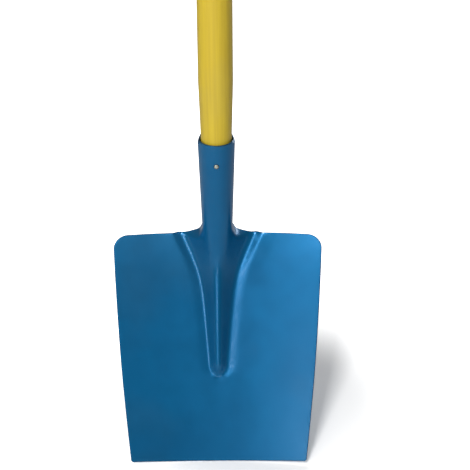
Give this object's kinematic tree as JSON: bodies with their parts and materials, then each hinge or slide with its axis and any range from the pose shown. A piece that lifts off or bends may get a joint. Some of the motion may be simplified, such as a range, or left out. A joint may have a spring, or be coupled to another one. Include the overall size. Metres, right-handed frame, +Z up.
{
  "type": "square mouth shovel",
  "caption": "Long-handled square mouth shovel with a pressed blue steel head, a rolled socket and a straight yellow handle.",
  "frame": {"origin": "on the handle's axis, where the full-thickness handle begins to taper towards the socket", "axes": "+Z up the handle's axis towards its free end; the blade hangs below and its tip swings forward, towards -Y; +X to the right of someone facing the scooping side"},
  "size_m": [0.2514, 0.1528, 1.5113],
  "materials": {
    "blue_enamel": "gloss",
    "yellow_plastic": "satin",
    "glass_fibre": "matt",
    "plug_plastic": "matt",
    "cap_plastic": "satin",
    "pin_steel": "satin"
  },
  "bodies": {
    "root": {"head": "blue_enamel", "handle_sheath": "yellow_plastic", "handle_core": "glass_fibre", "core_plug": "plug_plastic", "end_cap": "cap_plastic", "socket_pin": "pin_steel"}
  },
  "joints": []
}
